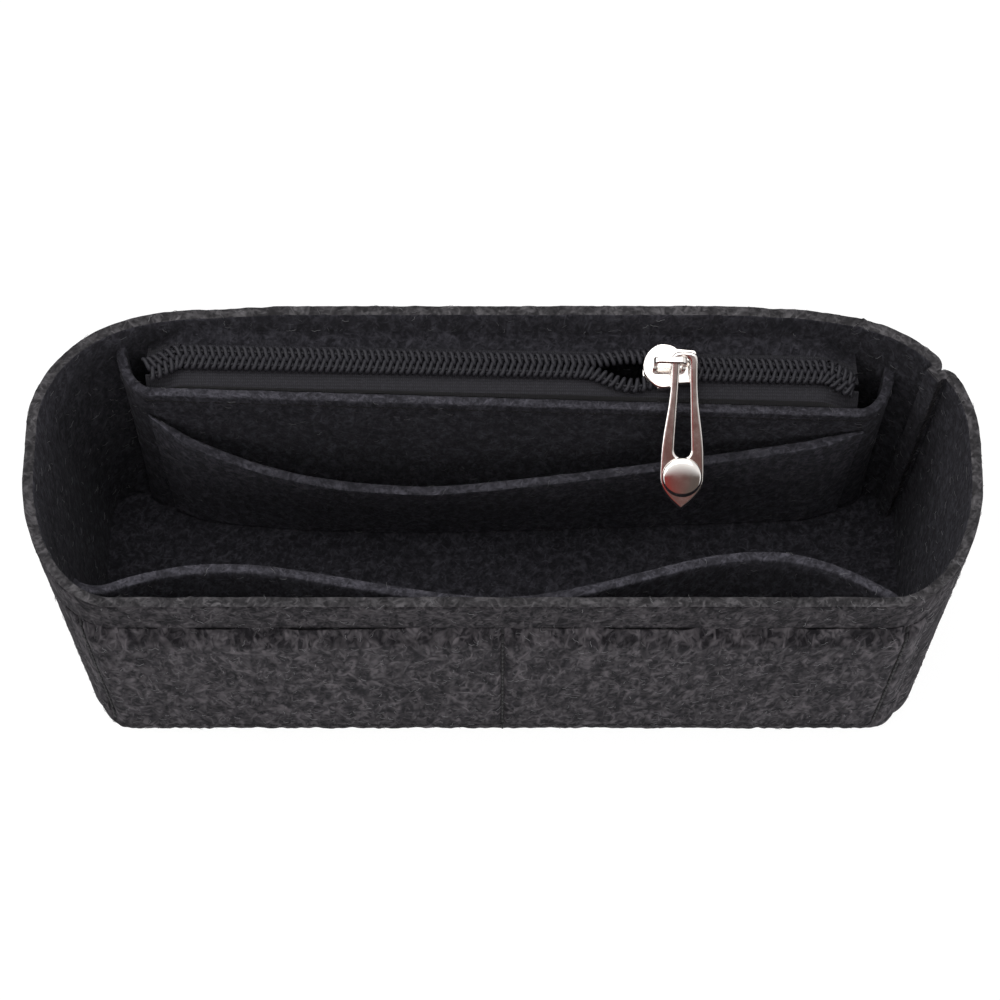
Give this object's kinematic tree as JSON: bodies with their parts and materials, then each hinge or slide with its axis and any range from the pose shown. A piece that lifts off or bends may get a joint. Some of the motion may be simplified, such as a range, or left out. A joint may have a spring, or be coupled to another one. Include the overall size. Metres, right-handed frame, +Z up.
{
  "type": "purse organizer insert",
  "caption": "Flared felt tub that stands inside a handbag, with open sewn pockets on its front, a slip pocket inside and a zipped pocket along its back.",
  "frame": {"origin": "on the ground under the middle of the rim", "axes": "+X to the right along the long walls, +Y to the back wall with the zipped pocket, +Z up"},
  "size_m": [0.217, 0.0778, 0.09],
  "materials": {
    "felt": "matte charcoal felt with paler fibres",
    "zip_tape": "black woven tape",
    "zip_coil": "black nylon coil",
    "slider_metal": "polished nickel plate",
    "pull_metal": "polished nickel plate"
  },
  "bodies": {
    "organizer": {"wall_wrap": "felt", "base_panel": "felt", "front_outer_pocket": "felt", "front_inner_pocket": "felt", "zip_pocket_panel": "felt", "slip_pocket_panel": "felt", "zip_tape_back": "zip_tape", "zip_tape_front": "zip_tape", "zip_coil_back": "zip_coil", "zip_coil_front": "zip_coil"},
    "slider": {"slider_body": "slider_metal"},
    "puller": {"pull_tab": "pull_metal", "pull_rivet": "pull_metal"}
  },
  "joints": [
    {"name": "slider_slide", "type": "slide", "parent": "organizer", "child": "slider", "axis": [0.9996, -0.0157, -0.0217], "range_m": [-0.1088, 0.0312], "deforming": ["zip_coil_back", "zip_coil_front"]},
    {"name": "puller_swing", "type": "hinge", "parent": "slider", "child": "puller", "pos_m": [0.04215, 0.02525, 0.08547], "axis": [-0.9996, 0.0157, 0.0217], "range_deg": [0, 40]}
  ]
}
